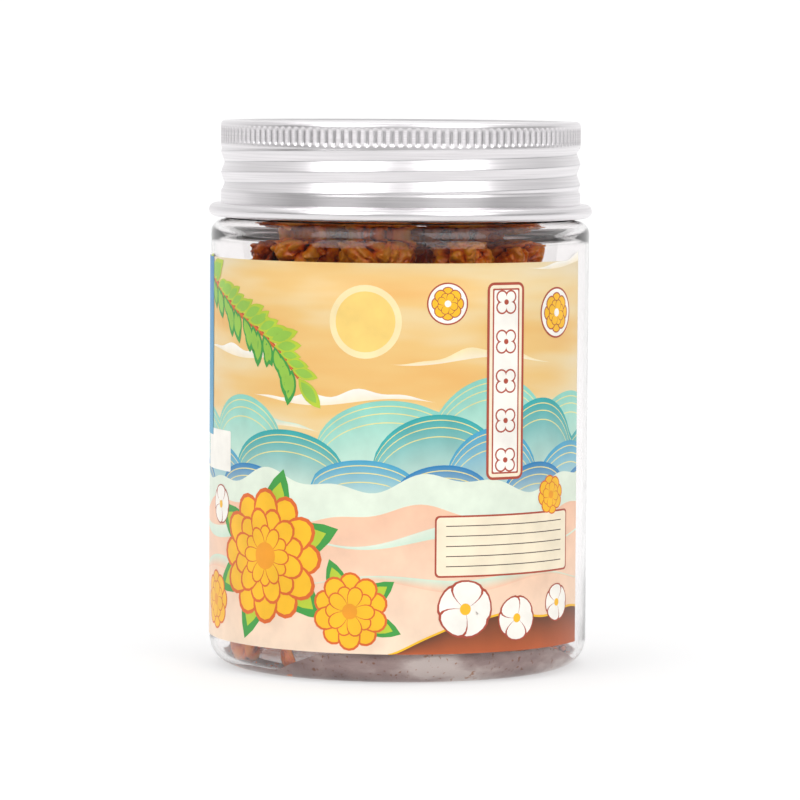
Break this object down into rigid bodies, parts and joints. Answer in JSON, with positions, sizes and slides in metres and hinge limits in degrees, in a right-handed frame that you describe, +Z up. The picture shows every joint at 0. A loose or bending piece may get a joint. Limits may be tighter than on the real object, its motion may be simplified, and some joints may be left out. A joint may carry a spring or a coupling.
{
  "type": "jar of dried golden ear fungus",
  "caption": "Clear screw-top jar with a printed label and an aluminium cap, filled with dried golden ear fungus heads.",
  "frame": {"origin": "middle of the base, on the surface that the jar stands on", "axes": "+Z up along the jar's axis; -Y towards the front of the label"},
  "size_m": [0.086, 0.086, 0.122],
  "materials": {
    "clear_plastic": "clear and glossy, with a faint grey tint",
    "label_print": "satin print on film",
    "satin_aluminium": "satin, finely brushed round the wall",
    "seal_foam": "matt white foam",
    "fungus_gold": "dry, glossy and translucent gold",
    "fungus_amber": "dry, glossy amber",
    "fungus_brown": "dry, dark red-brown"
  },
  "bodies": {
    "jar": {"jar": "clear_plastic", "label": "label_print", "fungus_01": "fungus_amber", "fungus_02": "fungus_amber", "fungus_03": "fungus_brown", "fungus_04": "fungus_brown", "fungus_05": "fungus_brown", "fungus_06": "fungus_brown", "fungus_07": "fungus_brown", "fungus_08": "fungus_amber", "fungus_09": "fungus_brown", "fungus_10": "fungus_amber", "fungus_11": "fungus_amber", "fungus_12": "fungus_brown", "fungus_13": "fungus_gold", "fungus_14": "fungus_gold", "fungus_15": "fungus_brown", "fungus_16": "fungus_gold", "fungus_17": "fungus_brown", "fungus_18": "fungus_brown", "fungus_19": "fungus_gold", "fungus_20": "fungus_amber", "fungus_21": "fungus_gold", "fungus_22": "fungus_gold", "fungus_23": "fungus_amber", "fungus_24": "fungus_brown", "fungus_25": "fungus_gold", "fungus_26": "fungus_amber", "fungus_27": "fungus_gold"},
    "seal": {"seal": "seal_foam"},
    "cap": {"cap": "satin_aluminium"}
  },
  "joints": [
    {"name": "cap_lift", "type": "slide", "parent": "jar", "child": "seal", "axis": [0, 0, 1], "range_m": [0, 0.00582]},
    {"name": "cap_turn", "type": "hinge", "parent": "seal", "child": "cap", "pos_m": [0, 0, 0.111], "axis": [0, 0, 1], "range_deg": [0, 450]}
  ],
  "couplings": [
    {"joint": "cap_lift", "follows": "cap_turn", "m_per_rad": 0.00074007}
  ]
}
